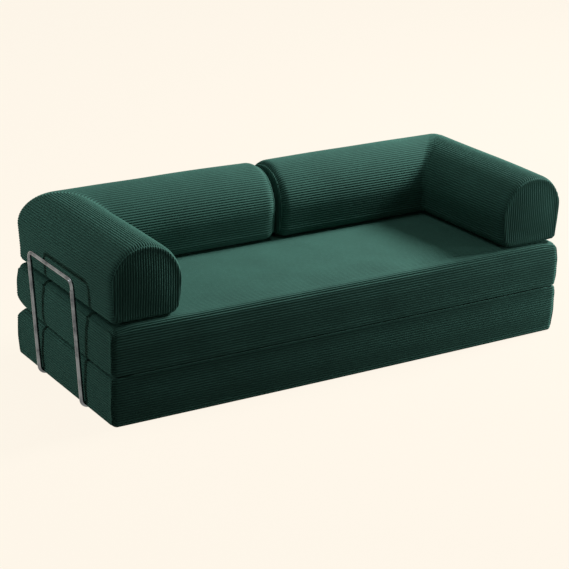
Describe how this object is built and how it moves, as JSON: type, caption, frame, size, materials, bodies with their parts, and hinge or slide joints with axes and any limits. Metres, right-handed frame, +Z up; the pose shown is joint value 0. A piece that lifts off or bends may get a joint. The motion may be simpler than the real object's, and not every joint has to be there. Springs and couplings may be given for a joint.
{
  "type": "floor sofa bed",
  "caption": "Low sofa bed of stacked mattress layers in ribbed cloth that fold out on the floor, with loose L-shaped bolsters as arms and back, held in place by slim bent tube frames.",
  "frame": {"origin": "on the floor, under the middle of the lower mattress layer", "axes": "+X to the right seen from the front, along the sofa; +Y to the rear; +Z up"},
  "size_m": [2.1254, 0.8825, 0.6683],
  "materials": {
    "corduroy": "dark green corduroy with ribs 10 mm apart",
    "wadding": "white polyester wadding",
    "foam": "cream flexible foam",
    "base_cloth": "dark grey non-slip cloth with small dots",
    "fold_tape": "plain woven tape",
    "zip_tape": "woven tape with teeth",
    "zip_metal": "satin",
    "bright_tube": "polished",
    "cap": "fine grain"
  },
  "bodies": {
    "lower_layer": {"lower_cover": "corduroy", "lower_wadding": "wadding", "lower_foam": "foam", "lower_base_cloth": "base_cloth", "lower_fold_tape": "fold_tape", "lower_zip": "zip_tape"},
    "upper_layer": {"upper_cover": "corduroy", "upper_wadding": "wadding", "upper_foam": "foam", "upper_fold_tape": "fold_tape", "upper_zip": "zip_tape"},
    "left_bolster": {"left_bolster_cover": "corduroy", "left_bolster_wadding": "wadding", "left_arm_foam": "foam", "left_back_foam": "foam", "left_bolster_zip": "zip_tape"},
    "right_bolster": {"right_bolster_cover": "corduroy", "right_bolster_wadding": "wadding", "right_arm_foam": "foam", "right_back_foam": "foam", "right_bolster_zip": "zip_tape"},
    "left_side_frame": {"left_side_frame_hoop": "bright_tube", "left_side_frame_legs": "bright_tube", "left_side_frame_caps": "cap"},
    "right_side_frame": {"right_side_frame_hoop": "bright_tube", "right_side_frame_legs": "bright_tube", "right_side_frame_caps": "cap"},
    "left_rear_frame": {"left_rear_frame_hoop": "bright_tube", "left_rear_frame_legs": "bright_tube", "left_rear_frame_caps": "cap"},
    "right_rear_frame": {"right_rear_frame_hoop": "bright_tube", "right_rear_frame_legs": "bright_tube", "right_rear_frame_caps": "cap"},
    "lower_slider": {"lower_zip_slider": "zip_metal"},
    "lower_pull": {"lower_zip_pull": "zip_metal"},
    "upper_slider": {"upper_zip_slider": "zip_metal"},
    "upper_pull": {"upper_zip_pull": "zip_metal"},
    "left_bolster_slider": {"left_bolster_zip_slider": "zip_metal"},
    "left_bolster_pull": {"left_bolster_zip_pull": "zip_metal"},
    "right_bolster_slider": {"right_bolster_zip_slider": "zip_metal"},
    "right_bolster_pull": {"right_bolster_zip_pull": "zip_metal"}
  },
  "joints": [
    {"name": "fold", "type": "hinge", "parent": "lower_layer", "child": "upper_layer", "pos_m": [0, -0.4105, 0.196], "axis": [1, 0, 0], "range_deg": [0, 180]},
    {"name": "left_bolster_turn", "type": "hinge", "parent": "upper_layer", "child": "left_bolster", "pos_m": [0, 0.42, 0.38915], "axis": [1, 0, 0], "range_deg": [-180, 0]},
    {"name": "right_bolster_turn", "type": "hinge", "parent": "upper_layer", "child": "right_bolster", "pos_m": [0, 0.42, 0.38915], "axis": [1, 0, 0], "range_deg": [-180, 0]},
    {"name": "left_side_frame_slide", "type": "slide", "parent": "lower_layer", "child": "left_side_frame", "axis": [-1, 0, 0], "range_m": [0, 0.3]},
    {"name": "right_side_frame_slide", "type": "slide", "parent": "lower_layer", "child": "right_side_frame", "axis": [1, 0, 0], "range_m": [0, 0.3]},
    {"name": "left_rear_frame_slide", "type": "slide", "parent": "lower_layer", "child": "left_rear_frame", "axis": [0, 1, 0], "range_m": [0, 0.3]},
    {"name": "right_rear_frame_slide", "type": "slide", "parent": "lower_layer", "child": "right_rear_frame", "axis": [0, 1, 0], "range_m": [0, 0.3]},
    {"name": "lower_zip_slide", "type": "slide", "parent": "lower_layer", "child": "lower_slider", "axis": [1, 0, 0], "range_m": [0, 1.676]},
    {"name": "lower_pull_tilt", "type": "hinge", "parent": "lower_slider", "child": "lower_pull", "pos_m": [-0.838, 0.417, 0.0975], "axis": [0, 0, -1], "range_deg": [0, 170]},
    {"name": "upper_zip_slide", "type": "slide", "parent": "upper_layer", "child": "upper_slider", "axis": [1, 0, 0], "range_m": [0, 1.676]},
    {"name": "upper_pull_tilt", "type": "hinge", "parent": "upper_slider", "child": "upper_pull", "pos_m": [-0.838, 0.417, 0.2915], "axis": [0, 0, -1], "range_deg": [0, 170]},
    {"name": "left_bolster_zip_slide", "type": "slide", "parent": "left_bolster", "child": "left_bolster_slider", "axis": [1, 0, 0], "range_m": [0, 0.674]},
    {"name": "left_bolster_pull_tilt", "type": "hinge", "parent": "left_bolster_slider", "child": "left_bolster_pull", "pos_m": [-0.838, 0.417, 0.4413], "axis": [0, 0, -1], "range_deg": [0, 170]},
    {"name": "right_bolster_zip_slide", "type": "slide", "parent": "right_bolster", "child": "right_bolster_slider", "axis": [-1, 0, 0], "range_m": [0, 0.674]},
    {"name": "right_bolster_pull_tilt", "type": "hinge", "parent": "right_bolster_slider", "child": "right_bolster_pull", "pos_m": [0.838, 0.417, 0.4413], "axis": [0, 0, 1], "range_deg": [0, 170]}
  ],
  "couplings": [
    {"joint": "left_bolster_turn", "follows": "fold", "ratio": -1},
    {"joint": "right_bolster_turn", "follows": "fold", "ratio": -1}
  ]
}
